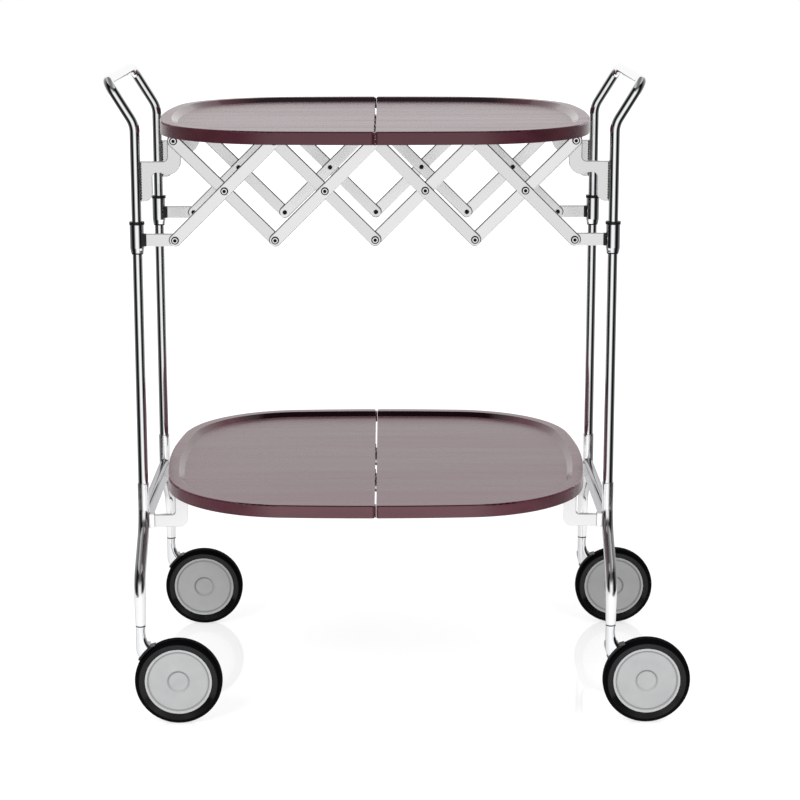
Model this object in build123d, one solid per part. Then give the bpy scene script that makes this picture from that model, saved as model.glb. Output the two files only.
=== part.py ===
from build123d import *
import math
import os

os.makedirs("parts", exist_ok=True)

# A folding serving trolley, open. Two tube end frames stand on polished castings with castors.
# Two trays, each in two halves with a hinge between them, and two scissor lattices join the frames.
# Millimetres. X runs from the left frame to the right one, Y from front to back, Z up from the floor.

# End frames
upright_stand_off = 20.5
upright_y = 118.5
tube_diameter = 11.5
tube_wall = 1.25
lean_height = 679.0
handle_rise = 47.8
handle_reach = 29.3
lean_radius = 30.0
handle_corner_radius = 14.0

# Base castings
shoulder_height = 267.4
leg_diameter = 13.0
leg_end_diameter = 11.4
leg_end_height = 116.1
leg_taper_length = 30.0
foot_y = 177.7
splay_top = 218.2
splay_bottom = 168.6
splay_radius = 40.0
spigot_length = 22.0
rail_height = 224.0
rail_depth = 25.0
rail_width = 11.0
rail_edge_radius = 4.5
rail_tail = 4.0

# Tray halves
tray_half_length = 247.0
tray_half_depth = 238.0
tray_front_radius = 1550.0
tray_end_radius = 795.0
tray_corner_radius = 145.0
tray_seam = 2.0
rim_height = 14.2
rim_edge_radius = 1.6
rim_width = 13.0
rim_slope = 6.5
well_depth = 5.6
tray_floor = 3.0
skirt_width = 4.0
upper_pivot_height = 661.0
lower_pivot_height = 251.3
pivot_drop = 7.0
seam_corner_radius = 3.0
lug_thickness = 8.0

# Hinges between the tray halves
hinge_y = 62.0
knuckle_length = 19.0
knuckle_radius = 5.0
knuckle_reach = 16.0
hinge_pin_diameter = 4.0

# Scissor lattices, four cells each
pivot_inset = 22.8
lattice_height = 111.0
bar_width = 14.2
bar_thickness = 3.2
bar_edge = 1.4
pivot_diameter = 5.0
head_diameter = 8.8
head_height = 2.0
head_edge = 1.1
socket_flats = 3.2
socket_depth = 1.2
spacer_diameter = 8.0
screw_end = 1.0

# Brackets that carry the tops of the lattices and the upper tray
tab_width = 13.0
tab_length = 45.0
tab_end_radius = 10.0
neck_drop = 23.0
neck_height = 12.5
riser_width = 15.0
bracket_fillet = 5.0
plate_edge = 0.8

# Arms that carry the lower tray
lower_arm_height = 14.4
lower_arm_drop = 29.0
lower_arm_thickness = 6.0
lower_arm_corner = 10.0
lower_arm_fillet = 4.0
boss_reach = 12.0
boss_margin = 1.0

# Sliders on the uprights
sleeve_diameter = 16.6
sleeve_bore = 13.6
sleeve_top = 17.0
sleeve_bottom = -14.7
sleeve_taper = 5.5
bush_flange = 3.2
bush_lip = 1.6
bush_depth = 8.0
bush_flange_diameter = 17.2
bush_lip_diameter = 13.2
insert_reach = 1.8
insert_height = 14.0
insert_width = 6.0
rib_pitch = 3.0
rib_groove = 1.2
rib_depth = 0.5
slider_arm_height = 14.4

# Castors
wheel_radius = 50.0
tyre_width = 17.0
tread_width = 5.0
tyre_side_width = 11.6
tyre_shoulder = 5.5
hub_radius = 38.2
hub_width = 13.0
cap_radius = 10.8
cap_depth = 1.6
cap_slope = 2.1
lip_width = 2.5
lip_height = 0.6
lip_groove = 0.7
disc_edge = 1.8
hub_boss_radius = 9.0
axle_diameter = 8.0
axle_end_cover = 4.0
trail = 42.0
stem_diameter = 7.0
stem_length = 26.0
washer_thickness = 1.0
horn_diameter = 11.0
horn_flat = 1.0
horn_heel_height = 88.0
horn_heel_tuck = 3.0
horn_waist = -0.2
horn_toe = 10.1
hood_start = 120.5
hood_end = 149.5
hood_slant = 7.5
hood_thickness = 2.2
hood_width = 13.0
tyre_room = 0.5
fork_thickness = 4.0
fork_gap = 1.0
fork_eye_radius = 9.0
fork_root_radius = 5.4
fork_root_height = 88.0

# Fits
running_gap = 0.3
pin_clearance = 0.05
slide_clearance = 0.1
seat_clearance = 0.05
join_overlap = 1.0
cut_through = 200.0

# What follows from the sizes above
upright_x = tray_half_length + upright_stand_off
pivot_x = tray_half_length - pivot_inset
cell = pivot_x / 2
bar_length = math.hypot(cell, lattice_height)
layer_pitch = bar_thickness + running_gap
pivot_radius = pivot_diameter / 2
pivot_hole = pivot_radius + pin_clearance
bracket_layer = 3
lug_outer = upright_y - 1.5 * layer_pitch - running_gap
lower_arm_y = lug_outer + running_gap + lower_arm_thickness / 2
lower_arm_z = lower_pivot_height - lower_arm_drop
slider_height = upper_pivot_height - lattice_height
handle_height = lean_height + handle_rise
hood_outer = wheel_radius + tyre_room + hood_thickness
horn_top = leg_end_height - washer_thickness - running_gap
fork_front = tyre_width / 2 + fork_gap
fork_back = fork_front + fork_thickness
UPWARD = (Align.CENTER, Align.CENTER, Align.MIN)
LEFT_LAYERS = (1, 2)
RIGHT_LAYERS = (2, 3)
FALLING_LAYER = 2
SIDES = {"left": -1, "right": 1}
ROWS = {"front": -1, "back": 1}


def save(name, *solids):
    export_step(Compound(children=list(solids)), f"parts/{name}.step")


def cylinder_y(x, z, radius, y0, y1):
    """A cylinder along Y between y0 and y1."""
    middle = (y0 + y1) / 2
    return Pos(x, middle, z) * Rot(X=90) * Cylinder(radius, abs(y1 - y0))


def plate(profile, y0, y1):
    """A profile drawn in X and Z, made as thick as from y0 to y1."""
    face = Plane(origin=(0, max(y0, y1), 0), x_dir=(1, 0, 0), z_dir=(0, -1, 0)) * profile
    return extrude(face, abs(y1 - y0))


def eased_plate(profile, hole, y0, y1):
    """A plate with rounded edges and a pivot hole."""
    blank = plate(profile, y0, y1)
    return fillet(blank.edges().filter_by(Plane.XZ), plate_edge) - plate(hole, y0, y1)


def layer_y(row, layer):
    """Middle of a layer of the lattice; both lattices are stacked alike from front to back."""
    return row * upright_y + (layer - bracket_layer) * layer_pitch


def top_layer(side):
    """Layer of the top brackets, one behind the bars they carry."""
    return bracket_layer if side < 0 else bracket_layer + 1


def slider_layer(side):
    """Layer of the slider arms, one behind the bars they carry."""
    return bracket_layer - 1 if side < 0 else bracket_layer


def layer_faces(row, first, last):
    """Front and back faces of a stack of layers."""
    half = bar_thickness / 2
    return layer_y(row, first) - half, layer_y(row, last) + half


def screw(x, z, row, front, back):
    """A button-head pivot screw through what lies between two faces, its head on the outer side."""
    if row < 0:
        seat, tip = front - running_gap, back + screw_end
    else:
        seat, tip = back + running_gap, front - screw_end
    crown = seat + row * head_height
    head = cylinder_y(x, z, head_diameter / 2, seat, crown)
    head = fillet(head.edges().sort_by(Axis.Y)[0 if row < 0 else -1], head_edge)
    socket = Pos(x, z) * RegularPolygon(socket_flats / 2, 6, major_radius=False)
    head -= plate(socket, crown - row * socket_depth, crown + row * socket_depth)
    return head + cylinder_y(x, z, pivot_radius, seat, tip)


def end_hoop(side):
    """One bent tube: front upright, handle and back upright."""
    x = side * upright_x
    x_handle = side * (upright_x + handle_reach)
    path = FilletPolyline(
        (x, -upright_y, shoulder_height),
        (x, -upright_y, lean_height),
        (x_handle, -upright_y, handle_height),
        (x_handle, upright_y, handle_height),
        (x, upright_y, lean_height),
        (x, upright_y, shoulder_height),
        radius=[lean_radius, handle_corner_radius, handle_corner_radius, lean_radius],
    )
    start = Plane(origin=(x, -upright_y, shoulder_height), z_dir=(0, 0, 1))
    ring = Circle(tube_diameter / 2) - Circle(tube_diameter / 2 - tube_wall)
    return sweep(start * ring, path=path)


def base_casting(side):
    """Two splayed legs, the rail between them, spigots for the tube and bosses for the lower arms."""
    x = side * upright_x
    casting = Part()
    for row in ROWS.values():
        taper_top = leg_end_height + leg_taper_length
        path = FilletPolyline(
            (x, row * upright_y, shoulder_height),
            (x, row * upright_y, splay_top),
            (x, row * foot_y, splay_bottom),
            (x, row * foot_y, taper_top),
            radius=splay_radius,
        )
        start = Plane(origin=(x, row * upright_y, shoulder_height), z_dir=(0, 0, -1))
        leg = sweep(start * Circle(leg_diameter / 2), path=path)
        taper = Pos(x, row * foot_y, leg_end_height) * Cone(
            leg_end_diameter / 2, leg_diameter / 2, leg_taper_length,
            align=UPWARD,
        )
        spigot = Pos(x, row * upright_y, shoulder_height) * Cylinder(
            tube_diameter / 2 - tube_wall - seat_clearance, spigot_length,
            align=UPWARD,
        )
        boss = Pos(x - side * boss_reach / 2, row * lower_arm_y, lower_arm_z) * Box(
            boss_reach, lower_arm_thickness + 2 * boss_margin, lower_arm_height + 2 * boss_margin
        )
        stem_bore = Pos(x, row * foot_y, leg_end_height) * Cylinder(
            stem_diameter / 2 + pin_clearance, 2 * (stem_length + running_gap)
        )
        casting += leg + taper + spigot + boss - stem_bore
    reach = upright_y + rail_tail
    section = Plane(origin=(x, -reach, rail_height), x_dir=(1, 0, 0), z_dir=(0, 1, 0))
    rail = extrude(section * RectangleRounded(rail_width, rail_depth, rail_edge_radius), 2 * reach)
    return casting + rail


def corner_web(x, z, toward_x, toward_z, radius):
    """The rounded filling of an inner corner at x, z, on the side that the two signs point to."""
    block = Pos(x + toward_x * radius / 2, z + toward_z * radius / 2) * Rectangle(radius, radius)
    return block - Pos(x + toward_x * radius, z + toward_z * radius) * Circle(radius)


def top_bracket(side, row):
    """An S-shaped plate from upright to pivot, which leaves room for the tray's end to swing down."""
    outer = side * upright_x
    riser_outer = side * (pivot_x + riser_width / 2)
    neck_top = upper_pivot_height - neck_drop
    tab_inner = side * (upright_x - tube_diameter / 2 - tab_width)
    tab = Pos((outer + tab_inner) / 2, neck_top - tab_length / 2) * Rectangle(
        abs(outer - tab_inner), tab_length
    )
    low_corner = tab.vertices().sort_by(Axis.Y)[:2].sort_by(Axis.X)[0 if side > 0 else -1]
    tab = fillet(low_corner, tab_end_radius)
    neck_length = abs(tab_inner - riser_outer) + tab_width / 2
    neck_middle = riser_outer + side * neck_length / 2
    neck_bottom = neck_top - neck_height
    neck = Pos(neck_middle, neck_top - neck_height / 2) * Rectangle(neck_length, neck_height)
    elbow = Pos(riser_outer, neck_top) * Circle(riser_width)
    elbow &= Pos(riser_outer, neck_top - riser_width / 2) * Rectangle(2 * riser_width, riser_width)
    riser = Pos(side * pivot_x, upper_pivot_height - neck_drop / 2) * Rectangle(riser_width, neck_drop)
    eye = Pos(side * pivot_x, upper_pivot_height) * Circle(riser_width / 2)
    web = corner_web(riser_outer, neck_top, side, 1, bracket_fillet)
    armpit = corner_web(tab_inner, neck_bottom, -side, -1, bracket_fillet)
    hole = Pos(side * pivot_x, upper_pivot_height) * Circle(pivot_hole)
    profile = tab + neck + elbow + riser + eye + web + armpit
    front, back = layer_faces(row, top_layer(side), top_layer(side))
    tube = Pos(outer, row * upright_y, neck_top) * Cylinder(tube_diameter / 2 + seat_clearance, cut_through)
    bracket = eased_plate(profile, hole, front, back) - tube
    return bracket.solids().sort_by(Axis.X)[0 if side > 0 else -1]


def lower_arm(side, row):
    """An L-shaped arm from the casting's boss to the lower tray's pivot."""
    root = side * (upright_x - boss_reach)
    inner = side * (pivot_x - riser_width / 2)
    outer = side * (pivot_x + riser_width / 2)
    bottom = lower_arm_z - lower_arm_height / 2
    top = lower_arm_z + lower_arm_height / 2
    beam = Pos((root + inner) / 2, lower_arm_z) * Rectangle(abs(root - inner), lower_arm_height)
    corner = beam.vertices().sort_by(Axis.Y)[:2].sort_by(Axis.X)[0 if side > 0 else -1]
    beam = fillet(corner, lower_arm_corner)
    post_height = lower_pivot_height - bottom - lower_arm_corner
    post = Pos(side * pivot_x, lower_pivot_height - post_height / 2) * Rectangle(riser_width, post_height)
    eye = Pos(side * pivot_x, lower_pivot_height) * Circle(riser_width / 2)
    web = corner_web(outer, top, side, 1, lower_arm_fillet)
    hole = Pos(side * pivot_x, lower_pivot_height) * Circle(pivot_hole)
    half = lower_arm_thickness / 2
    y = row * lower_arm_y
    return eased_plate(beam + post + eye + web, hole, y - half, y + half)


def tray_outline(inset):
    """Plan of a whole tray: gently bowed sides joined by round corners, drawn in by an inset."""
    front_centre = tray_half_depth - tray_front_radius
    end_centre = tray_half_length - tray_end_radius
    corner = tray_corner_radius
    reach_front = tray_front_radius - corner
    reach_end = tray_end_radius - corner
    gap = math.hypot(end_centre, front_centre)
    along = (reach_front**2 - reach_end**2 + gap**2) / (2 * gap)
    across = math.sqrt(reach_front**2 - along**2)
    ux, uy = end_centre / gap, -front_centre / gap
    cx = along * ux + across * uy
    cy = front_centre + along * uy - across * ux
    bow_x = (tray_front_radius - inset) * cx / reach_front
    bow_y = front_centre + (tray_front_radius - inset) * (cy - front_centre) / reach_front
    end_x = end_centre + (tray_end_radius - inset) * (cx - end_centre) / reach_end
    end_y = (tray_end_radius - inset) * cy / reach_end
    turn = math.hypot(bow_x + end_x - 2 * cx, bow_y + end_y - 2 * cy)
    mid_x = cx + (corner - inset) * (bow_x + end_x - 2 * cx) / turn
    mid_y = cy + (corner - inset) * (bow_y + end_y - 2 * cy) / turn
    edges = []
    for sx, sy in ((1, 1), (1, -1), (-1, -1), (-1, 1)):
        points = (bow_x, bow_y), (mid_x, mid_y), (end_x, end_y)
        edges.append(ThreePointArc(*[(sx * px, sy * py) for px, py in points]))
    depth = tray_half_depth - inset
    length = tray_half_length - inset
    for s in (1, -1):
        edges.append(ThreePointArc((-bow_x, s * bow_y), (0, s * depth), (bow_x, s * bow_y)))
        edges.append(ThreePointArc((s * end_x, -end_y), (s * length, 0), (s * end_x, end_y)))
    return make_face(edges)


def tray_half(side, pivot_height):
    """A moulded half tray with its well, hollow underside, pivot lugs and hinge knuckles."""
    bottom = pivot_height + pivot_drop
    top = bottom + rim_height
    well = top - well_depth
    span = 2 * max(tray_half_length, tray_half_depth)
    half_plan = tray_outline(0) & Pos(side * (tray_seam + span) / 2, 0) * Rectangle(span, span)
    half_plan = fillet([v for v in half_plan.vertices() if abs(v.X) < tray_seam], seam_corner_radius)
    body = extrude(Pos(0, 0, bottom) * half_plan, rim_height)
    body = fillet(body.edges().group_by(Axis.Z)[-1], rim_edge_radius)
    mouth = Pos(0, 0, top) * tray_outline(rim_width)
    floor = Pos(0, 0, well) * tray_outline(rim_width + rim_slope)
    body -= loft([floor, mouth], ruled=True)
    under = well - tray_floor - bottom
    body -= extrude(Pos(0, 0, bottom) * tray_outline(skirt_width), under)
    seam_wall = Pos(side * (tray_seam + skirt_width) / 2, 0, bottom) * Box(
        skirt_width, 2 * tray_half_depth - 2 * skirt_width, under, align=UPWARD
    )
    body += seam_wall
    for row in ROWS.values():
        y0 = row * (lug_outer - lug_thickness)
        y1 = row * lug_outer
        lug = Pos(side * pivot_x, pivot_height + (pivot_drop + under) / 2) * Rectangle(
            riser_width, pivot_drop + under
        )
        lug += Pos(side * pivot_x, pivot_height) * Circle(riser_width / 2)
        lug -= Pos(side * pivot_x, pivot_height) * Circle(pivot_hole)
        body += plate(lug, y0, y1)
        middle = row * hinge_y
        offset = -side * (knuckle_length + running_gap) / 2
        eye = Circle(knuckle_radius)
        arm = Pos(side * knuckle_reach / 2, (pivot_drop + under) / 2) * Rectangle(
            knuckle_reach, pivot_drop + under
        )
        arm -= Pos(0, pivot_drop) * Rectangle(tray_seam, 2 * (pivot_drop - knuckle_radius))
        arm &= Pos(side * knuckle_reach / 2, 0) * Rectangle(knuckle_reach, cut_through)
        knuckle = Pos(0, pivot_height) * (eye + arm - Circle(hinge_pin_diameter / 2 + pin_clearance))
        body += plate(knuckle, middle + offset - knuckle_length / 2, middle + offset + knuckle_length / 2)
    return body


def hinge_pin(row, pivot_height):
    """The pin through one pair of knuckles."""
    half = knuckle_length + running_gap / 2
    y = row * hinge_y
    return cylinder_y(0, pivot_height, hinge_pin_diameter / 2, y - half, y + half)


def lattice_node(index, level):
    """X and Z of a lattice pivot: index 0 to 4 from the left, level T for top or B for bottom."""
    x = -pivot_x + index * cell
    return x, upper_pivot_height if level == "T" else upper_pivot_height - lattice_height


def lattice_bar(start, end, row, layer):
    """A flat bar with round ends, eased edges and three pivot holes."""
    x0, z0 = start
    x1, z1 = end
    lean = math.degrees(math.atan2(z1 - z0, x1 - x0))
    place = Pos((x0 + x1) / 2, (z0 + z1) / 2) * Rot(Z=lean)
    front, back = layer_faces(row, layer, layer)
    bar = plate(place * SlotCenterToCenter(bar_length, bar_width), front, back)
    bar = fillet(bar.edges().filter_by(Plane.XZ), bar_edge)
    for along in (-bar_length / 2, 0, bar_length / 2):
        bar -= plate(place * Pos(along, 0) * Circle(pivot_hole), front - bar_edge, back + bar_edge)
    return bar


def slider_sleeve(side, row):
    """A sleeve with a tapered foot, which runs on the upright on two plastic bushes."""
    axis = Pos(side * upright_x, row * upright_y, slider_height)
    foot_radius = bush_lip_diameter / 2 + bush_lip / 2
    foot = Pos(0, 0, sleeve_bottom) * Cone(foot_radius, sleeve_diameter / 2, sleeve_taper, align=UPWARD)
    length = sleeve_top - sleeve_bottom - sleeve_taper
    body = Pos(0, 0, sleeve_bottom + sleeve_taper) * Cylinder(sleeve_diameter / 2, length, align=UPWARD)
    return axis * (foot + body - Cylinder(sleeve_bore / 2, cut_through))


def slider_bushes(side, row):
    """Top and bottom bushes of a sleeve, and the insert that its arm is pressed into."""
    axis = Pos(side * upright_x, row * upright_y, slider_height)
    bore = Cylinder(tube_diameter / 2 + slide_clearance, cut_through)
    fitted = sleeve_bore / 2 - seat_clearance
    top = Pos(0, 0, sleeve_top) * Cylinder(bush_flange_diameter / 2, bush_flange, align=UPWARD)
    top += Pos(0, 0, sleeve_top - bush_depth) * Cylinder(fitted, bush_depth, align=UPWARD)
    bottom = Pos(0, 0, sleeve_bottom - bush_lip) * Cylinder(bush_lip_diameter / 2, bush_lip, align=UPWARD)
    bottom += Pos(0, 0, sleeve_bottom) * Cylinder(fitted, bush_depth, align=UPWARD)
    reach = sleeve_diameter / 2 + insert_reach
    arm_offset = layer_y(row, slider_layer(side)) - row * upright_y
    insert = Pos(-side * reach / 2, arm_offset, 0) * Box(reach, insert_width, insert_height)
    insert -= Cylinder(sleeve_diameter / 2 + seat_clearance, cut_through)
    for step in (-1, 0, 1):
        for face in (-1, 1):
            groove_y = arm_offset + face * insert_width / 2
            place = Pos(-side * reach / 2, groove_y, step * rib_pitch)
            insert -= place * Box(reach, 2 * rib_depth, rib_groove)
    return [axis * (top - bore), axis * (bottom - bore), axis * insert]


def slider_arm(side, row):
    """The flat arm from a slider to the bottom corner of the lattice."""
    root = side * (upright_x - sleeve_diameter / 2 - insert_reach)
    tip = side * pivot_x
    profile = Pos((root + tip) / 2, slider_height) * Rectangle(abs(root - tip), slider_arm_height)
    profile += Pos(tip, slider_height) * Circle(slider_arm_height / 2)
    hole = Pos(tip, slider_height) * Circle(pivot_hole)
    front, back = layer_faces(row, slider_layer(side), slider_layer(side))
    return eased_plate(profile, hole, front, back)


def carried_on(curve, height):
    """Where the end of a curve, carried straight on, comes down to a height."""
    end, way = curve @ 1, curve % 1
    return end + way * ((height - end.Y) / way.Y)


def castor_fork(x, y):
    """The swivelling horn with its stem and the arm behind the wheel, and the axle pressed into it."""
    half = horn_diameter / 2
    wheel_x = x + trail

    def sole(px):
        return px, wheel_radius + math.sqrt(hood_outer**2 - (wheel_x - px) ** 2)

    heel_x, toe_x = x - half, x + half
    toe = sole(x + horn_toe)
    waist = toe_x + horn_waist, (horn_top + toe[1]) / 2
    heel_curve = TangentArc((heel_x, horn_heel_height), sole(heel_x + horn_heel_tuck), tangent=(0, -1))
    toe_curve = ThreePointArc((toe_x, horn_top), waist, toe)
    heel_end = carried_on(heel_curve, wheel_radius)
    toe_end = carried_on(toe_curve, wheel_radius)
    face = make_face([
        Line((heel_x, horn_top), (heel_x, horn_heel_height)),
        heel_curve,
        Polyline(heel_curve @ 1, heel_end, toe_end, toe),
        toe_curve,
        Line((toe_x, horn_top), (heel_x, horn_top)),
    ])
    horn = plate(face, y - half, y + half)
    outlines = horn.edges().filter_by(Plane.XZ)
    lowest, highest = wheel_radius + join_overlap, horn_top - join_overlap
    long_edges = [edge for edge in outlines if lowest < edge.center().Z < highest]
    horn = fillet(long_edges, (horn_diameter - horn_flat) / 2)
    horn += plate(face & Pos(x, 0) * Rectangle(cut_through, 2 * toe[1]), y, y + fork_back)
    horn -= cylinder_y(wheel_x, wheel_radius, hood_outer, y - fork_back, y + fork_back)
    stem = Pos(x, y, horn_top - join_overlap) * Cylinder(stem_diameter / 2, stem_length, align=UPWARD)
    eye = Pos(wheel_x, wheel_radius) * Circle(fork_eye_radius)
    root = Pos(x, fork_root_height) * Circle(fork_root_radius)
    arm = make_hull(eye.edges() + root.edges())
    arm -= Pos(wheel_x, wheel_radius) * Circle(axle_diameter / 2 + pin_clearance)
    fork = horn + stem + plate(arm, y + fork_front, y + fork_back)
    axle_start = y - hub_width / 2 + axle_end_cover
    axle = cylinder_y(wheel_x, wheel_radius, axle_diameter / 2, axle_start, y + fork_back + screw_end)
    return [fork, axle]


def castor_hood(x, y):
    """The curved guard between horn and wheel, and the washer under the leg."""
    wheel_x = x + trail
    outer = hood_outer - seat_clearance
    inner = hood_outer - hood_thickness
    band = Circle(outer) - Circle(inner)
    corners = [(inner, hood_start), (outer, hood_start + hood_slant)]
    corners += [(cut_through, hood_start + hood_slant), (cut_through, hood_end)]
    wedge = [Vector(reach, 0).rotate(Axis.Z, angle) for reach, angle in corners]
    band &= make_face(Polyline((0, 0), *wedge, close=True))
    guard = plate(Pos(wheel_x, wheel_radius) * band, y - hood_width / 2, y + hood_width / 2)
    washer = Pos(x, y, horn_top) * Cylinder(leg_end_diameter / 2, washer_thickness, align=UPWARD)
    washer -= Pos(x, y, horn_top) * Cylinder(stem_diameter / 2 + pin_clearance, cut_through)
    return [guard, washer]


def castor_tyre(x, y):
    """A solid rubber tyre: dished side bands, round shoulders and a narrow tread."""
    bore = hub_radius + seat_clearance
    side, full, tread = tyre_side_width / 2, tyre_width / 2, tread_width / 2
    shoulder = wheel_radius - tyre_shoulder
    bend = math.sqrt(0.5)
    bend_radius = shoulder + bend * tyre_shoulder
    bend_width = tread + bend * (full - tread)
    section = make_face([
        Line((bore, side), (bore, -side)),
        Line((bore, -side), (shoulder, -full)),
        ThreePointArc((shoulder, -full), (bend_radius, -bend_width), (wheel_radius, -tread)),
        Line((wheel_radius, -tread), (wheel_radius, tread)),
        ThreePointArc((wheel_radius, tread), (bend_radius, bend_width), (shoulder, full)),
        Line((shoulder, full), (bore, side)),
    ])
    return Pos(x + trail, y, wheel_radius) * revolve(section, Axis.Y)


def castor_hub(x, y):
    """A moulded hub: a bevelled disc in a grooved lip, a sunk cap, and a boss with the axle's blind bore."""
    half = hub_width / 2
    boss = fork_front - running_gap
    bore = axle_diameter / 2 + pin_clearance
    bore_end = axle_end_cover - half - running_gap
    disc = lip_height - half
    cap = disc + cap_depth
    lip = hub_radius - lip_width
    section = make_face(
        Polyline(
            (0, cap), (cap_radius, cap), (cap_radius + cap_slope, disc),
            (lip - lip_groove - disc_edge, disc), (lip - lip_groove, disc + lip_groove),
            (lip, disc + lip_groove), (lip, -half),
            (hub_radius, -half), (hub_radius, half), (hub_boss_radius, half), (hub_boss_radius, boss),
            (bore, boss), (bore, bore_end), (0, bore_end), close=True,
        )
    )
    return Pos(x + trail, y, wheel_radius) * revolve(section, Axis.Y)


def tray_screws(side, row):
    """The screws that carry a corner of each tray, with a spacer where the upper one needs it."""
    x = side * pivot_x
    lug_inner = lug_outer - lug_thickness
    bar_front, bracket_back = layer_faces(row, top_layer(side) - 1, top_layer(side))
    arm_face = lower_arm_y + lower_arm_thickness / 2
    if row < 0:
        upper = screw(x, upper_pivot_height, row, bar_front, -lug_inner)
        lower = screw(x, lower_pivot_height, row, -arm_face, -lug_inner)
        spacer_faces = bracket_back, -lug_outer
    else:
        upper = screw(x, upper_pivot_height, row, lug_inner, bracket_back)
        lower = screw(x, lower_pivot_height, row, lug_inner, arm_face)
        spacer_faces = lug_outer, bar_front
    pieces = [upper, lower]
    if spacer_faces[1] - spacer_faces[0] > bar_thickness:
        ends = spacer_faces[0] + seat_clearance, spacer_faces[1] - running_gap
        spacer = cylinder_y(x, upper_pivot_height, spacer_diameter / 2, *ends)
        pieces.append(spacer - cylinder_y(x, upper_pivot_height, pivot_hole, *ends))
    return pieces


def lattice_screw(index, level, row, layers):
    """A pivot screw of the lattice; level M is the crossing in the middle of cell number index."""
    if level == "M":
        x, z = lattice_node(index - 0.5, "T")
        z -= lattice_height / 2
    else:
        x, z = lattice_node(index, level)
    return screw(x, z, row, *layer_faces(row, *layers))


def stub_screw(index, level, row, layer):
    """A screw that ends in its own bar, where the two halves of a lattice only meet."""
    x, z = lattice_node(index, level)
    front, back = layer_faces(row, layer, layer)
    if row < 0:
        return screw(x, z, row, front, back - screw_end)
    return cylinder_y(x, z, pivot_radius, front - screw_end, back)


for name, side in SIDES.items():
    save(f"{name}_end_hoop", end_hoop(side))
    save(f"{name}_base_casting", base_casting(side))
    save(f"{name}_top_brackets", *[top_bracket(side, row) for row in ROWS.values()])
    save(f"{name}_lower_arms", *[lower_arm(side, row) for row in ROWS.values()])
    save(f"{name}_tray_screws", *[piece for row in ROWS.values() for piece in tray_screws(side, row)])
    save(f"{name}_slider_sleeves", *[slider_sleeve(side, row) for row in ROWS.values()])
    save(f"{name}_slider_bushes", *[piece for row in ROWS.values() for piece in slider_bushes(side, row)])
    save(f"{name}_slider_arms", *[slider_arm(side, row) for row in ROWS.values()])
    save(f"upper_tray_{name}_half", tray_half(side, upper_pivot_height))
    save(f"lower_tray_{name}_half", tray_half(side, lower_pivot_height))

for name, height in (("upper", upper_pivot_height), ("lower", lower_pivot_height)):
    save(f"{name}_tray_hinge_pins", *[hinge_pin(row, height) for row in ROWS.values()])

for name, row in ROWS.items():
    for number in (1, 2, 3, 4):
        rising_layer = LEFT_LAYERS[0] if number <= 2 else RIGHT_LAYERS[1]
        rising_ends = lattice_node(number - 1, "B"), lattice_node(number, "T")
        falling_ends = lattice_node(number - 1, "T"), lattice_node(number, "B")
        rising = lattice_bar(*rising_ends, row, rising_layer)
        falling = lattice_bar(*falling_ends, row, FALLING_LAYER)
        save(f"{name}_cell_{number}_rising_bar", rising)
        save(f"{name}_cell_{number}_falling_bar", falling)

lattice_screws = {
    "cell_1_rising_screws": ([(0, "B"), (1, "M")], LEFT_LAYERS, []),
    "cell_2_rising_screws": ([(1, "B"), (2, "M")], LEFT_LAYERS, [(2, "T", 1)]),
    "cell_2_falling_screws": ([(1, "T")], LEFT_LAYERS, [(2, "B", 2)]),
    "cell_3_falling_screws": ([(3, "M"), (3, "B")], RIGHT_LAYERS, []),
    "cell_4_falling_screws": ([(3, "T"), (4, "M"), (4, "B")], RIGHT_LAYERS, []),
}
for name, (places, layers, stubs) in lattice_screws.items():
    group = []
    for row in ROWS.values():
        group += [lattice_screw(index, level, row, layers) for index, level in places]
        group += [stub_screw(index, level, row, layer) for index, level, layer in stubs]
    save(name, *group)

for side_name, side in SIDES.items():
    for row_name, row in ROWS.items():
        place = side * upright_x, row * foot_y
        save(f"{row_name}_{side_name}_castor_fork", *castor_fork(*place))
        save(f"{row_name}_{side_name}_castor_hood", *castor_hood(*place))
        save(f"{row_name}_{side_name}_castor_tyre", castor_tyre(*place))
        save(f"{row_name}_{side_name}_castor_hub", castor_hub(*place))
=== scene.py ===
import math

import bmesh
import bpy
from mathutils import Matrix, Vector


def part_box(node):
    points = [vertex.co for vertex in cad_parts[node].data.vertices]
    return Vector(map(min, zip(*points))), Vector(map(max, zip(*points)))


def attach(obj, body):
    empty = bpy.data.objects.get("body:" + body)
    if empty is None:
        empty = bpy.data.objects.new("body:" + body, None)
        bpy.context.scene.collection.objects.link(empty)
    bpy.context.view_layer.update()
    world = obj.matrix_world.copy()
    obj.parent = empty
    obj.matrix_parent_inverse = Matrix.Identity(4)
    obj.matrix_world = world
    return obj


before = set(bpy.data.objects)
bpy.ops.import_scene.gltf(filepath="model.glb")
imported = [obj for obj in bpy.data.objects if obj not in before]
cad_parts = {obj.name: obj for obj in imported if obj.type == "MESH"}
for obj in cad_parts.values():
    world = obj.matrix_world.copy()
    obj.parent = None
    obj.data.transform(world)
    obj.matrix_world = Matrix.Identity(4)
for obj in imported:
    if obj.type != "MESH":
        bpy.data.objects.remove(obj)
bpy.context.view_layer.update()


# Base castings: one for each end, two splayed legs with a flat rail between them.
# Cast aluminium, ground and polished; the tube hoops slip over spigots on their shoulders
# and the lower tray's arms are screwed to bosses on their inner sides.

def start_finish(name, colour, metallic, roughness):
    """A new material with its even values set on the shader."""
    finish = bpy.data.materials.new(name)
    finish.use_nodes = True
    shader = finish.node_tree.nodes["Principled BSDF"]
    shader.inputs["Base Color"].default_value = (*colour, 1)
    shader.inputs["Metallic"].default_value = metallic
    shader.inputs["Roughness"].default_value = roughness
    return finish, shader


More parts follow.
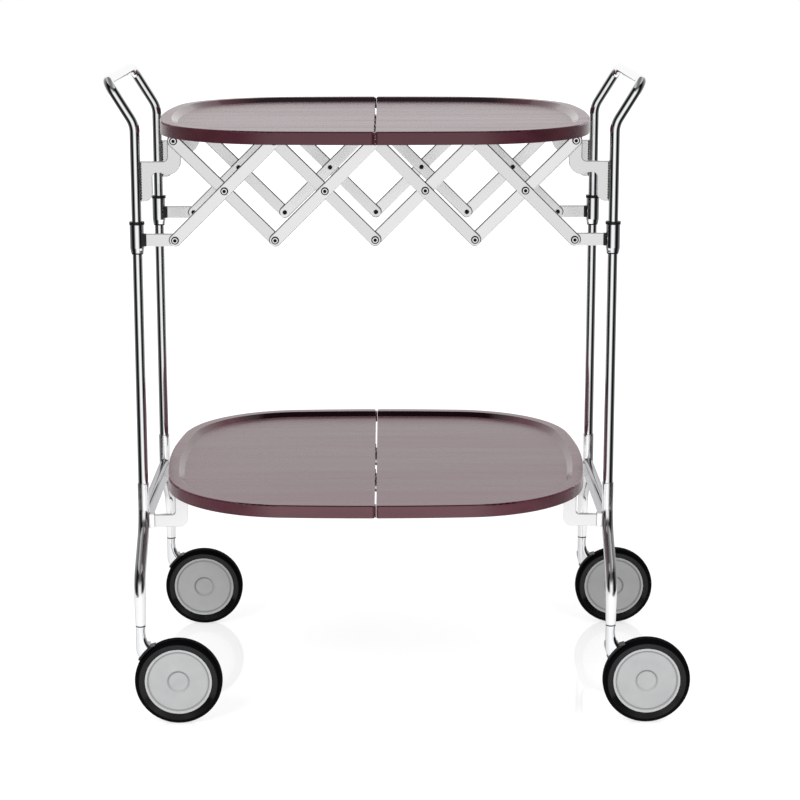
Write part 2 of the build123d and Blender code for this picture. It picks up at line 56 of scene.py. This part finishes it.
def mottle(finish, patch, detail=3.0, stretch=(1, 1, 1), turn=0.0):
    """Cloudy noise fixed to the piece, in patches about so many metres wide, drawn out along an axis."""
    tree = finish.node_tree
    place = tree.nodes.new("ShaderNodeTexCoord")
    mapping = tree.nodes.new("ShaderNodeMapping")
    mapping.inputs["Rotation"].default_value = (0, turn, 0)
    mapping.inputs["Scale"].default_value = stretch
    noise = tree.nodes.new("ShaderNodeTexNoise")
    noise.inputs["Scale"].default_value = 1 / patch
    noise.inputs["Detail"].default_value = detail
    tree.links.new(place.outputs["Object"], mapping.inputs["Vector"])
    tree.links.new(mapping.outputs["Vector"], noise.inputs["Vector"])
    return noise.outputs["Fac"]


def spread(finish, source, low, high, start=0.3, end=0.7):
    """A source read between two of its levels and turned into values from low to high."""
    ramp = finish.node_tree.nodes.new("ShaderNodeMapRange")
    ramp.inputs["From Min"].default_value = start
    ramp.inputs["From Max"].default_value = end
    ramp.inputs["To Min"].default_value = low
    ramp.inputs["To Max"].default_value = high
    finish.node_tree.links.new(source, ramp.inputs["Value"])
    return ramp.outputs["Result"]


def vary_roughness(finish, shader, source, low, high):
    """Roughness that wanders between two values."""
    finish.node_tree.links.new(spread(finish, source, low, high), shader.inputs["Roughness"])


def eased_normal(finish, radius):
    """The way the surface faces, as if its edges were rounded by a small radius."""
    rounded = finish.node_tree.nodes.new("ShaderNodeBevel")
    rounded.samples = 4
    rounded.inputs["Radius"].default_value = radius
    return rounded.outputs["Normal"]


def emboss(finish, shader, source, depth, edge_radius=0.0):
    """Relief of so many metres from a source, on edges softened by a small radius."""
    tree = finish.node_tree
    bump = tree.nodes.new("ShaderNodeBump")
    bump.inputs["Distance"].default_value = depth
    tree.links.new(source, bump.inputs["Height"])
    if edge_radius:
        tree.links.new(eased_normal(finish, edge_radius), bump.inputs["Normal"])
    tree.links.new(bump.outputs["Normal"], shader.inputs["Normal"])


def dress(finish, *names):
    """Gives a finish to pieces of the frame."""
    for name in names:
        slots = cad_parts[name].data.materials
        slots.clear()
        slots.append(finish)


SIDES = ("left", "right")

polished_casting, shader = start_finish("polished_casting", (0.88, 0.88, 0.89), metallic=1.0, roughness=0.1)
shader.inputs["Specular Tint"].default_value = (0.45, 0.45, 0.46, 1)
vary_roughness(polished_casting, shader, mottle(polished_casting, patch=0.02), low=0.12, high=0.2)
hand_ground = mottle(polished_casting, patch=0.03, detail=1.0)
emboss(polished_casting, shader, hand_ground, depth=0.0002, edge_radius=0.0008)
dress(polished_casting, *[f"{side}_base_casting" for side in SIDES])


# End hoops: one tube at each end, bent into front upright, handle and back upright.
# Steel tube, bent cold and chrome plated; its two ends slip over the castings' spigots.

chrome, shader = start_finish("chrome", (0.90, 0.91, 0.92), metallic=1.0, roughness=0.05)
vary_roughness(chrome, shader, mottle(chrome, patch=0.012), low=0.035, high=0.07)
emboss(chrome, shader, mottle(chrome, patch=0.05, detail=1.0), depth=0.00008)
dress(chrome, *[f"{side}_end_hoop" for side in SIDES])


# Castors: four swivelling horns, each with a hood over the tyre and a hub turning on its axle.
# The horns are chromed castings, hoods and washers black plastic, hubs grey plastic,
# and the tyres smooth rubber pressed on the hubs.

def vary_colour(finish, shader, source, dark, light, start=0.3, end=0.7):
    """Colour that wanders between two shades."""
    ramp = finish.node_tree.nodes.new("ShaderNodeValToRGB")
    ramp.color_ramp.elements[0].position = start
    ramp.color_ramp.elements[0].color = (*dark, 1)
    ramp.color_ramp.elements[1].position = end
    ramp.color_ramp.elements[1].color = (*light, 1)
    finish.node_tree.links.new(source, ramp.inputs["Fac"])
    finish.node_tree.links.new(ramp.outputs["Color"], shader.inputs["Base Color"])
    return ramp.outputs["Color"]


def edge_mask(finish, width):
    """One along sharp edges and nought on the flats, for wear."""
    tree = finish.node_tree
    flat = tree.nodes.new("ShaderNodeNewGeometry")
    agreement = tree.nodes.new("ShaderNodeVectorMath")
    agreement.operation = "DOT_PRODUCT"
    tree.links.new(eased_normal(finish, width), agreement.inputs[0])
    tree.links.new(flat.outputs["Normal"], agreement.inputs[1])
    return spread(finish, agreement.outputs["Value"], low=0.0, high=1.0, start=0.995, end=0.9)


def overlay(finish, shader, under, mask, colour):
    """Lays a second colour over the first wherever a mask is one."""
    tree = finish.node_tree
    blend = tree.nodes.new("ShaderNodeMix")
    blend.data_type = "RGBA"
    share, first, second = blend.inputs[0], blend.inputs[6], blend.inputs[7]
    blended = blend.outputs[2]
    second.default_value = (*colour, 1)
    tree.links.new(mask, share)
    tree.links.new(under, first)
    tree.links.new(blended, shader.inputs["Base Color"])
    return blended


def reckon(finish, operation, *values):
    """One step of arithmetic in a finish, on sources or plain numbers."""
    tree = finish.node_tree
    step = tree.nodes.new("ShaderNodeMath")
    step.operation = operation
    for socket, value in zip(step.inputs, values):
        if isinstance(value, bpy.types.NodeSocket):
            tree.links.new(value, socket)
        else:
            socket.default_value = value
    return step.outputs["Value"]


ROWS = ("front", "back")
CORNERS = [f"{row}_{side}" for row in ROWS for side in SIDES]

black_plastic, shader = start_finish("black_plastic", (0.008, 0.008, 0.009), metallic=0.0, roughness=0.35)
shader.inputs["Specular IOR Level"].default_value = 0.25
shade = vary_colour(
    black_plastic, shader, mottle(black_plastic, patch=0.01),
    dark=(0.006, 0.006, 0.007), light=(0.010, 0.010, 0.011),
)
worn_edges = edge_mask(black_plastic, width=0.0005)
overlay(black_plastic, shader, shade, worn_edges, colour=(0.03, 0.03, 0.031))
vary_roughness(black_plastic, shader, mottle(black_plastic, patch=0.004), low=0.28, high=0.42)
mould_grain = mottle(black_plastic, patch=0.0006, detail=2.0)
emboss(black_plastic, shader, mould_grain, depth=0.00002, edge_radius=0.0004)

# Distances from the axle in metres, and the strength of the gloss and of the painted shade
BAND_EDGE = 0.0442
BAND_END = 0.0452
BAND_GLOSS = 0.4
LIP_FOOT = 0.0357
LIP_STEP = 0.0001
GROOVE_MIDDLE = 0.0345
GROOVE_SHADE_WIDTH = 0.0015
GROOVE_SHADE = 0.5
CAP_SLOPE_MIDDLE = 0.01185
CAP_SHADE_WIDTH = 0.0018
CAP_SHADE = 0.45
SHADE_CORE = 0.3


def axle_distance(finish, corner):
    """How far a point of a wheel lies from its axle."""
    low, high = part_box(f"{corner}_castor_tyre")
    tree = finish.node_tree
    place = tree.nodes.new("ShaderNodeTexCoord")
    axle = tree.nodes.new("ShaderNodeMapping")
    axle.inputs["Location"].default_value = (-(low[0] + high[0]) / 2, 0, -(low[2] + high[2]) / 2)
    axle.inputs["Scale"].default_value = (1, 0, 1)
    radius = tree.nodes.new("ShaderNodeVectorMath")
    radius.operation = "LENGTH"
    tree.links.new(place.outputs["Object"], axle.inputs["Vector"])
    tree.links.new(axle.outputs["Vector"], radius.inputs[0])
    return radius.outputs["Value"]


def tyre_rubber(corner):
    """Rubber of one tyre: dull black, with a glossier side band next to the hub, coloured a little paler as
    painted reflection.
    """
    tread_black = (0.0012, 0.0012, 0.0016)
    # The band's paler black is painted reflection; its coat gloss is real
    band_black_painted_reflection = (0.003, 0.003, 0.0034)
    finish, shader = start_finish(f"{corner}_tyre_rubber", tread_black, metallic=0.0, roughness=0.8)
    shader.inputs["Specular IOR Level"].default_value = 0.08
    shader.inputs["Coat Roughness"].default_value = 0.12
    shader.inputs["Coat IOR"].default_value = 1.6
    band = spread(finish, axle_distance(finish, corner), low=1.0, high=0.0, start=BAND_EDGE, end=BAND_END)
    vary_colour(finish, shader, band, dark=tread_black, light=band_black_painted_reflection, start=0.0, end=1.0)
    gloss = spread(finish, band, low=0.0, high=BAND_GLOSS, start=0.0, end=1.0)
    finish.node_tree.links.new(gloss, shader.inputs["Coat Weight"])
    vary_roughness(finish, shader, mottle(finish, patch=0.003), low=0.75, high=0.9)
    emboss(finish, shader, mottle(finish, patch=0.004, detail=2.0), depth=0.00003, edge_radius=0.0006)
    return finish


def hub_plastic(corner):
    """Grey moulding of one hub: a painted highlight on the lip, and painted shade in the groove and round
    the sunk cap.
    """
    finish, shader = start_finish(f"{corner}_hub_plastic", (0.42, 0.425, 0.43), metallic=0.0, roughness=0.4)
    grey = vary_colour(
        finish, shader, mottle(finish, patch=0.02), dark=(0.43, 0.435, 0.44), light=(0.47, 0.475, 0.475)
    )
    radius = axle_distance(finish, corner)
    # The paler lip is a painted highlight
    lip_highlight = spread(finish, radius, low=0.0, high=1.0, start=LIP_FOOT - LIP_STEP, end=LIP_FOOT + LIP_STEP)
    grey = overlay(finish, shader, grey, lip_highlight, colour=(0.50, 0.505, 0.51))
    # Darker grey in the groove and round the cap slope is painted shade
    for middle, width, strength in (
        (GROOVE_MIDDLE, GROOVE_SHADE_WIDTH, GROOVE_SHADE),
        (CAP_SLOPE_MIDDLE, CAP_SHADE_WIDTH, CAP_SHADE),
    ):
        apart = reckon(finish, "ABSOLUTE", reckon(finish, "SUBTRACT", radius, middle))
        painted_shade = spread(finish, apart, low=strength, high=0.0, start=width * SHADE_CORE, end=width)
        grey = overlay(finish, shader, grey, painted_shade, colour=(0.20, 0.20, 0.205))
    vary_roughness(finish, shader, mottle(finish, patch=0.003), low=0.35, high=0.48)
    emboss(finish, shader, mottle(finish, patch=0.0005, detail=2.0), depth=0.00002, edge_radius=0.0005)
    return finish


horn_chrome, shader = start_finish("horn_chrome", (0.78, 0.79, 0.80), metallic=1.0, roughness=0.06)
shader.inputs["Specular Tint"].default_value = (0.25, 0.25, 0.26, 1)
vary_roughness(horn_chrome, shader, mottle(horn_chrome, patch=0.008), low=0.05, high=0.09)
emboss(horn_chrome, shader, mottle(horn_chrome, patch=0.03, detail=1.0), depth=0.00006)

for corner in CORNERS:
    dress(horn_chrome, f"{corner}_castor_fork")
    dress(black_plastic, f"{corner}_castor_hood")
    dress(tyre_rubber(corner), f"{corner}_castor_tyre")
    dress(hub_plastic(corner), f"{corner}_castor_hub")


# Top brackets and lower arms: flat plates that carry the trays and the tops of the lattices.
# Pale satin aluminium, cut from plate with the edges eased; fixed to the uprights and the castings.

def pale_metal(name, shade, turn=0.0):
    """Satin plate with its fine grain drawn out along the piece."""
    finish, shader = start_finish(name, (shade, shade, shade), metallic=1.0, roughness=0.22)
    grain = mottle(finish, patch=0.0012, detail=2.0, stretch=(0.03, 1, 1), turn=turn)
    vary_colour(finish, shader, grain, dark=(shade * 0.985,) * 3, light=(shade * 1.01,) * 3)
    vary_roughness(finish, shader, grain, low=0.20, high=0.23)
    emboss(finish, shader, mottle(finish, patch=0.03, detail=1.0), depth=0.00006, edge_radius=0.0012)
    return finish


# Brackets and arms are the same metal: the brackets' darker shade is painted shade and the arms' paler shade
# is painted light
shaded_bracket_metal = pale_metal("shaded_bracket_metal", shade=0.73)
arm_metal = pale_metal("arm_metal", shade=0.79)
for side in SIDES:
    dress(shaded_bracket_metal, f"{side}_top_brackets")
    dress(arm_metal, f"{side}_lower_arms")


# Gasket strips: a thin toothed strip on both faces of each top bracket, along the upright.
# Black rubber, cut from sheet, laid where the plate's edge is set against the tube.

PLATE_THICKNESS = 0.0032
STRIP_TOP = 0.6365
STRIP_EDGE = 0.2618
STRIP_WIDTH = 0.0012
STRIP_THICKNESS = 0.0003
TOOTH_COUNT = 14
TOOTH_PITCH = 0.003
TOOTH_DEPTH = 0.0006
TOOTH_CREST = 0.55
TOOTH_FOOT = 0.6
TOOTH_GAP_END = 0.95


def prism(shape, first, second):
    """A closed solid between two like outlines."""
    rings = [[shape.verts.new(corner) for corner in outline] for outline in (first, second)]
    for ring in rings:
        shape.faces.new(ring)
    count = len(first)
    for i in range(count):
        j = (i + 1) % count
        shape.faces.new((rings[0][i], rings[0][j], rings[1][j], rings[1][i]))


def fit_piece(name, shape, finish, body):
    """Makes a piece of a drawn shape, gives it its finish and lets it ride on a body."""
    bmesh.ops.recalc_face_normals(shape, faces=shape.faces)
    mesh = bpy.data.meshes.new(name)
    shape.to_mesh(mesh)
    shape.free()
    mesh.materials.append(finish)
    piece = bpy.data.objects.new(name, mesh)
    bpy.context.scene.collection.objects.link(piece)
    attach(piece, body)


def gasket_strip(side, row):
    """Two toothed strips, one on each face of a bracket."""
    sign = -1 if side == "left" else 1
    crest = STRIP_EDGE - STRIP_WIDTH
    root = crest + TOOTH_DEPTH
    outline = [(STRIP_EDGE, STRIP_TOP)]
    for tooth in range(TOOTH_COUNT):
        top = STRIP_TOP - tooth * TOOTH_PITCH
        outline += [
            (crest, top),
            (crest, top - TOOTH_PITCH * TOOTH_CREST),
            (root, top - TOOTH_PITCH * TOOTH_FOOT),
            (root, top - TOOTH_PITCH * TOOTH_GAP_END),
        ]
    outline.append((STRIP_EDGE, STRIP_TOP - TOOTH_COUNT * TOOTH_PITCH))
    low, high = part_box(f"{side}_top_brackets")
    front_face = low[1] if row == "front" else high[1] - PLATE_THICKNESS
    shape = bmesh.new()
    for face_y, out in ((front_face, -1), (front_face + PLATE_THICKNESS, 1)):
        first, second = [
            [(sign * x, y, z) for x, z in outline] for y in (face_y, face_y + out * STRIP_THICKNESS)
        ]
        prism(shape, first, second)
    fit_piece(f"{row}_{side}_gasket", shape, black_plastic, f"{side}_frame")


for row in ROWS:
    for side in SIDES:
        gasket_strip(side, row)


# Sliders: a chromed sleeve on each upright, running on two black bushes, with a flat arm.
# The arm is pressed into a black insert on the sleeve and holds the lattice's bottom corner.

slider_metal = pale_metal("slider_arm_metal", shade=0.78)
for side in SIDES:
    dress(chrome, f"{side}_slider_sleeves")
    dress(black_plastic, f"{side}_slider_bushes")
    dress(slider_metal, f"{side}_slider_arms")


# Lattice bars: sixteen flat bars with round ends, eight in each of the two scissor lattices.
# Pale satin aluminium strip, punched for three pivots, with the grain along the bar.

# All bars are the same strip: the rising bars' paler shade is painted light and the falling bars' darker
# shade is painted shade
bar_finishes = {
    "rising": pale_metal("lit_pale_bar_rising", shade=0.82, turn=math.radians(45)),
    "falling": pale_metal("shaded_pale_bar_falling", shade=0.74, turn=math.radians(-45)),
}
for row in ROWS:
    for cell in (1, 2, 3, 4):
        for lean, finish in bar_finishes.items():
            dress(finish, f"{row}_cell_{cell}_{lean}_bar")


# Pivot screws: button-head screws with a hexagon socket through every pivot, heads outwards.
# Steel coloured near black, painted shade on the edge and in the socket, with a painted highlight ring on
# each crown between its edge and the socket.

# How far the crowns lie from the middle plane, where the pivots are, and the radius of the painted highlight
# ring
CROWN_PLANES = (0.1189, 0.12155, 0.1224, 0.1259, 0.1294)
CROWN_SLACK = 0.00006
PIVOT_PITCH_X = 0.05605
PIVOT_PITCH_Z = 0.0555
UPPER_PIVOT = 0.661
LOWER_PIVOT = 0.2513
HIGHLIGHT_RING_MIDDLE = 0.00255
HIGHLIGHT_RING_HALF_WIDTH = 0.00055


def position(finish):
    """X, Y and Z of a point, in the piece's own frame."""
    tree = finish.node_tree
    place = tree.nodes.new("ShaderNodeTexCoord")
    split = tree.nodes.new("ShaderNodeSeparateXYZ")
    tree.links.new(place.outputs["Object"], split.inputs["Vector"])
    return split.outputs["X"], split.outputs["Y"], split.outputs["Z"]


def painted_crown_highlights(finish):
    """One on the painted highlight ring of every screw's crown, and nought on the rest of the screw."""
    x, y, z = position(finish)
    depth = reckon(finish, "ABSOLUTE", y)
    crowns = reckon(finish, "COMPARE", depth, CROWN_PLANES[0], CROWN_SLACK)
    for plane in CROWN_PLANES[1:]:
        crowns = reckon(finish, "MAXIMUM", crowns, reckon(finish, "COMPARE", depth, plane, CROWN_SLACK))
    across = reckon(finish, "PINGPONG", x, PIVOT_PITCH_X / 2)
    upper = reckon(finish, "PINGPONG", reckon(finish, "SUBTRACT", z, UPPER_PIVOT), PIVOT_PITCH_Z / 2)
    lower = reckon(finish, "ABSOLUTE", reckon(finish, "SUBTRACT", z, LOWER_PIVOT))
    along = reckon(finish, "MINIMUM", upper, lower)
    squares = reckon(finish, "MULTIPLY_ADD", across, across, reckon(finish, "MULTIPLY", along, along))
    ring = reckon(finish, "COMPARE", reckon(finish, "SQRT", squares), HIGHLIGHT_RING_MIDDLE, HIGHLIGHT_RING_HALF_WIDTH)
    return reckon(finish, "MULTIPLY", crowns, ring)


screw_steel, shader = start_finish("screw_steel", (0.7, 0.7, 0.7), metallic=1.0, roughness=0.16)
# Near black as painted shade, pale on the crown ring as painted highlight
vary_colour(
    screw_steel, shader, painted_crown_highlights(screw_steel),
    dark=(0.012, 0.012, 0.013), light=(0.80, 0.80, 0.81), start=0.4, end=0.6,
)
vary_roughness(screw_steel, shader, mottle(screw_steel, patch=0.002), low=0.14, high=0.24)
emboss(screw_steel, shader, mottle(screw_steel, patch=0.0004, detail=2.0), depth=0.000006)
dress(screw_steel, *[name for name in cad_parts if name.startswith("cell_")])
dress(screw_steel, *[f"{side}_tray_screws" for side in SIDES])


# Hinge pins: one through each pair of knuckles under the seam of a tray.
# Plain drawn steel, pressed into the left half's knuckles.

LEVELS = ("upper", "lower")

pin_steel, shader = start_finish("pin_steel", (0.5, 0.5, 0.5), metallic=1.0, roughness=0.3)
vary_roughness(pin_steel, shader, mottle(pin_steel, patch=0.002), low=0.22, high=0.38)
emboss(pin_steel, shader, mottle(pin_steel, patch=0.0004, detail=2.0), depth=0.00001)
dress(pin_steel, *[f"{level}_tray_hinge_pins" for level in LEVELS])


# Tray halves: two trays, each of two moulded halves hinged under the seam.
# Dark plum plastic with a satin sheen; lugs underneath turn on the bracket and arm screws.
# Small tongues moulded on the left halves close the seam behind the rim.

POLISHED_SLOPE = 0.08
RIM_HEIGHT = 0.0142
TONGUE_LEFT = -0.00095
TONGUE_RIGHT = 0.0007
TONGUE_DEPTH = 0.010
TONGUE_SET_BACK = 0.0032
TONGUE_SUNK = 0.0015
TONGUE_EASE = 0.0002
# Both trays are one plastic: the lower tray's paler plum is painted light
TRAY_LIT_AND_SHADED_LOOKS = {
    "upper": {"gloss": 0.5, "dark": (0.042, 0.010, 0.016), "light": (0.060, 0.015, 0.022)},
    "lower": {"gloss": 0.75, "dark": (0.064, 0.015, 0.024), "light": (0.088, 0.021, 0.033)},
}


def plum_plastic(level, gloss, dark, light):
    """Plastic of one tray: faint streaks along it, polished slopes, painted shade on the back slope and
    rubbed edges.
    """
    finish, shader = start_finish(f"{level}_plum_plastic", dark, metallic=0.0, roughness=0.28)
    shader.inputs["Specular IOR Level"].default_value = gloss
    shader.inputs["Sheen Weight"].default_value = 0.12
    shader.inputs["Sheen Roughness"].default_value = 0.35
    shader.inputs["Sheen Tint"].default_value = (1.0, 0.76, 0.82, 1)
    streaks = mottle(finish, patch=0.02, detail=2.0, stretch=(0.06, 1, 1))
    tint = vary_colour(finish, shader, streaks, dark, light)
    tree = finish.node_tree
    facing = tree.nodes.new("ShaderNodeNewGeometry")
    normal = tree.nodes.new("ShaderNodeSeparateXYZ")
    tree.links.new(facing.outputs["True Normal"], normal.inputs["Vector"])
    upward = spread(finish, normal.outputs["Z"], low=0.0, high=1.0, start=0.3, end=0.5)
    not_level = spread(finish, normal.outputs["Z"], low=1.0, high=0.0, start=0.85, end=0.95)
    faces_front = spread(finish, normal.outputs["Y"], low=1.0, high=0.0, start=-0.6, end=-0.45)
    slope = reckon(finish, "MULTIPLY", upward, not_level)
    shaded_back_slope = reckon(finish, "MULTIPLY", slope, faces_front)
    # The back slope is coloured nearly black: painted shade
    tint = overlay(finish, shader, tint, shaded_back_slope, colour=(0.006, 0.002, 0.003))
    rubbed = spread(finish, edge_mask(finish, width=0.0012), low=0.0, high=0.6, start=0.0, end=1.0)
    overlay(finish, shader, tint, rubbed, colour=(0.085, 0.028, 0.038))
    polish = tree.nodes.new("ShaderNodeMix")
    share, satin, polished = polish.inputs[0], polish.inputs[2], polish.inputs[3]
    polished.default_value = POLISHED_SLOPE
    tree.links.new(slope, share)
    tree.links.new(spread(finish, streaks, low=0.24, high=0.30), satin)
    tree.links.new(polish.outputs[0], shader.inputs["Roughness"])
    emboss(finish, shader, mottle(finish, patch=0.0006, detail=2.0), depth=0.00001, edge_radius=0.0007)
    return finish


def rim_tongues(level, finish):
    """Small tongues on the left half that close the seam behind the rim, front and back."""
    low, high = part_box(f"{level}_tray_left_half")
    shape = bmesh.new()
    for sign, edge in ((-1, low[1]), (1, high[1])):
        outer = edge - sign * TONGUE_SET_BACK
        inner = outer - sign * TONGUE_DEPTH
        plan = [(TONGUE_LEFT, outer), (TONGUE_RIGHT, outer), (TONGUE_RIGHT, inner), (TONGUE_LEFT, inner)]
        foot, top = [
            [(x, y, z) for x, y in plan] for z in (high[2] - RIM_HEIGHT, high[2] - TONGUE_SUNK)
        ]
        prism(shape, foot, top)
    bmesh.ops.bevel(shape, geom=shape.edges[:], offset=TONGUE_EASE, segments=2, affect="EDGES")
    fit_piece(f"{level}_rim_tongues", shape, finish, f"{level}_tray_left")


for level in LEVELS:
    plum = plum_plastic(level, **TRAY_LIT_AND_SHADED_LOOKS[level])
    for side in SIDES:
        dress(plum, f"{level}_tray_{side}_half")
    rim_tongues(level, plum)


# The studio: a white floor and surround, three lamps, and a screen and ceiling seen only in glossy surfaces.
# The screen is bright before and behind, dark at both sides of the camera and high up in front;
# the ceiling is dark in the middle and paler at the sides.

FLOOR_REACH = 9.0
FLOOR_GLOW = 0.63
WORLD_FILL = 0.55
SCREEN_RADIUS = 3.4
SCREEN_FOOT = 1.0
SCREEN_LIFT = 0.002
SCREEN_HEIGHT = 4.0
SCREEN_STEPS = 72
FRONT_SHARE = -0.5
FADE_START = 2.7
FADE_END = 3.7
FADED = 0.12
# Brightness of the screen by degrees away from the camera's side
SHADES = [(0, 1.0), (18, 1.0), (30, 0.30), (42, 0.02), (50, 0.006), (72, 0.008), (90, 0.10),
          (108, 0.22), (130, 0.42), (148, 1.0)]
CEILING_DARK = 0.18
CEILING_PALE = 0.6
DARK_REACH = 0.8
PALE_REACH = 2.6
MIDDLE = (0, 0, 0.4)


def seen_directly(owner):
    """One for rays from the camera, off a mirror or through glass, and nought for mere lighting."""
    path = owner.node_tree.nodes.new("ShaderNodeLightPath")
    mirrored = reckon(owner, "MAXIMUM", path.outputs["Is Glossy Ray"], path.outputs["Is Transmission Ray"])
    return reckon(owner, "MAXIMUM", path.outputs["Is Camera Ray"], mirrored)


floor_finish, shader = start_finish("floor_paint", (0.40, 0.40, 0.40), metallic=0.0, roughness=0.05)
shader.inputs["Specular IOR Level"].default_value = 0.3
shader.inputs["Emission Color"].default_value = (1, 1, 1, 1)
glow = reckon(floor_finish, "MULTIPLY", seen_directly(floor_finish), FLOOR_GLOW)
floor_finish.node_tree.links.new(glow, shader.inputs["Emission Strength"])
floor_mesh = bpy.data.meshes.new("floor")
floor_corners = [(x * FLOOR_REACH, y * FLOOR_REACH, 0) for x, y in ((-1, -1), (1, -1), (1, 1), (-1, 1))]
floor_mesh.from_pydata(floor_corners, [], [(0, 1, 2, 3)])
floor_mesh.materials.append(floor_finish)
floor = bpy.data.objects.new("floor", floor_mesh)
bpy.context.scene.collection.objects.link(floor)

world = bpy.data.worlds.new("studio")
bpy.context.scene.world = world
world.use_nodes = True
tree = world.node_tree
fill = tree.nodes["Background"]
fill.inputs["Color"].default_value = (1, 1, 1, 1)
fill.inputs["Strength"].default_value = WORLD_FILL
white = tree.nodes.new("ShaderNodeBackground")
white.inputs["Color"].default_value = (1, 1, 1, 1)
white.inputs["Strength"].default_value = 1.0
choose = tree.nodes.new("ShaderNodeMixShader")
tree.links.new(seen_directly(world), choose.inputs["Fac"])
tree.links.new(fill.outputs["Background"], choose.inputs[1])
tree.links.new(white.outputs["Background"], choose.inputs[2])
tree.links.new(choose.outputs["Shader"], tree.nodes["World Output"].inputs["Surface"])

screen_finish = bpy.data.materials.new("graded_screen")
screen_finish.use_nodes = True
tree = screen_finish.node_tree
tree.nodes.remove(tree.nodes["Principled BSDF"])
x, y, z = position(screen_finish)
turn = reckon(screen_finish, "ARCTAN2", x, reckon(screen_finish, "MULTIPLY", y, -1))
share = reckon(screen_finish, "DIVIDE", reckon(screen_finish, "ABSOLUTE", turn), math.pi)
shades = tree.nodes.new("ShaderNodeValToRGB")
stops = shades.color_ramp.elements
for degrees, brightness in SHADES:
    stop = stops[0] if degrees == 0 else stops.new(degrees / 180)
    stop.color = (brightness, brightness, brightness, 1)
stops.remove(stops[len(SHADES)])
rise = reckon(screen_finish, "MULTIPLY_ADD", y, FRONT_SHARE, z)
fade = spread(screen_finish, rise, low=1.0, high=FADED, start=FADE_START, end=FADE_END)
shine = tree.nodes.new("ShaderNodeEmission")
tree.links.new(share, shades.inputs["Fac"])
tree.links.new(shades.outputs["Color"], shine.inputs["Color"])
tree.links.new(fade, shine.inputs["Strength"])
tree.links.new(shine.outputs["Emission"], tree.nodes["Material Output"].inputs["Surface"])

ceiling_finish, shader = start_finish("dark_ceiling", (0.02, 0.02, 0.02), metallic=0.0, roughness=1.0)
shader.inputs["Emission Color"].default_value = (1, 1, 1, 1)
sideways = reckon(ceiling_finish, "ABSOLUTE", position(ceiling_finish)[0])
paleness = spread(
    ceiling_finish, sideways, low=CEILING_DARK, high=CEILING_PALE, start=DARK_REACH, end=PALE_REACH
)
ceiling_finish.node_tree.links.new(paleness, shader.inputs["Emission Strength"])


def staged(name, corners, faces, finish):
    """A part of the studio that only glossy surfaces see."""
    mesh = bpy.data.meshes.new(name)
    mesh.from_pydata(corners, [], faces)
    mesh.materials.append(finish)
    card = bpy.data.objects.new(name, mesh)
    bpy.context.scene.collection.objects.link(card)
    card.visible_camera = False
    card.visible_diffuse = False
    card.visible_shadow = False
    card.visible_transmission = False


corners, faces, lid = [], [], []
for step in range(SCREEN_STEPS):
    angle = 2 * math.pi * step / SCREEN_STEPS
    x, y = math.sin(angle), -math.cos(angle)
    for radius, height in (
        (SCREEN_FOOT, SCREEN_LIFT), (SCREEN_RADIUS, SCREEN_LIFT), (SCREEN_RADIUS, SCREEN_HEIGHT)
    ):
        corners.append((x * radius, y * radius, height))
    near, far = 3 * step, 3 * ((step + 1) % SCREEN_STEPS)
    faces += [(near, near + 1, far + 1, far), (near + 1, near + 2, far + 2, far + 1)]
    lid.append((x * SCREEN_RADIUS, y * SCREEN_RADIUS, SCREEN_HEIGHT))
staged("graded_screen", corners, faces, screen_finish)
staged("dark_ceiling", lid, [tuple(range(SCREEN_STEPS))], ceiling_finish)


def softbox(name, place, size, power):
    """A large square lamp aimed at the middle of the trolley."""
    lamp = bpy.data.lights.new(name, "AREA")
    lamp.shape = "SQUARE"
    lamp.size = size
    lamp.energy = power
    box = bpy.data.objects.new(name, lamp)
    bpy.context.scene.collection.objects.link(box)
    box.location = place
    box.rotation_euler = (Vector(MIDDLE) - Vector(place)).to_track_quat("-Z", "Y").to_euler()
    box.visible_glossy = False


softbox("key_softbox", (-1.6, -2.4, 2.2), size=1.6, power=82)
softbox("fill_softbox", (1.9, -2.2, 1.9), size=1.6, power=52)
softbox("top_softbox", (0, 0.2, 3.0), size=2.4, power=22)


# The camera, at the photograph's angle: a long lens a little above the upper tray.
# Its place and turn come from pivots, wheels and tray edges of the photograph.

PHOTO_SIZE = 800
FOCAL_PIXELS = 2117.9
SENSOR = 36.0
CAMERA_PLACE = (0.0098, -2.4797, 0.8963)
CAMERA_PITCH = 11.499
CAMERA_YAW = -0.439
CAMERA_SHIFT = -0.055

camera_data = bpy.data.cameras.new("photo_camera")
camera_data.sensor_width = SENSOR
camera_data.lens = FOCAL_PIXELS / PHOTO_SIZE * SENSOR
camera_data.shift_y = CAMERA_SHIFT
camera = bpy.data.objects.new("photo_camera", camera_data)
bpy.context.scene.collection.objects.link(camera)
camera.location = CAMERA_PLACE
camera.rotation_euler = (math.radians(90 - CAMERA_PITCH), 0, math.radians(CAMERA_YAW))
bpy.context.scene.camera = camera
bpy.context.scene.view_settings.view_transform = "Standard"
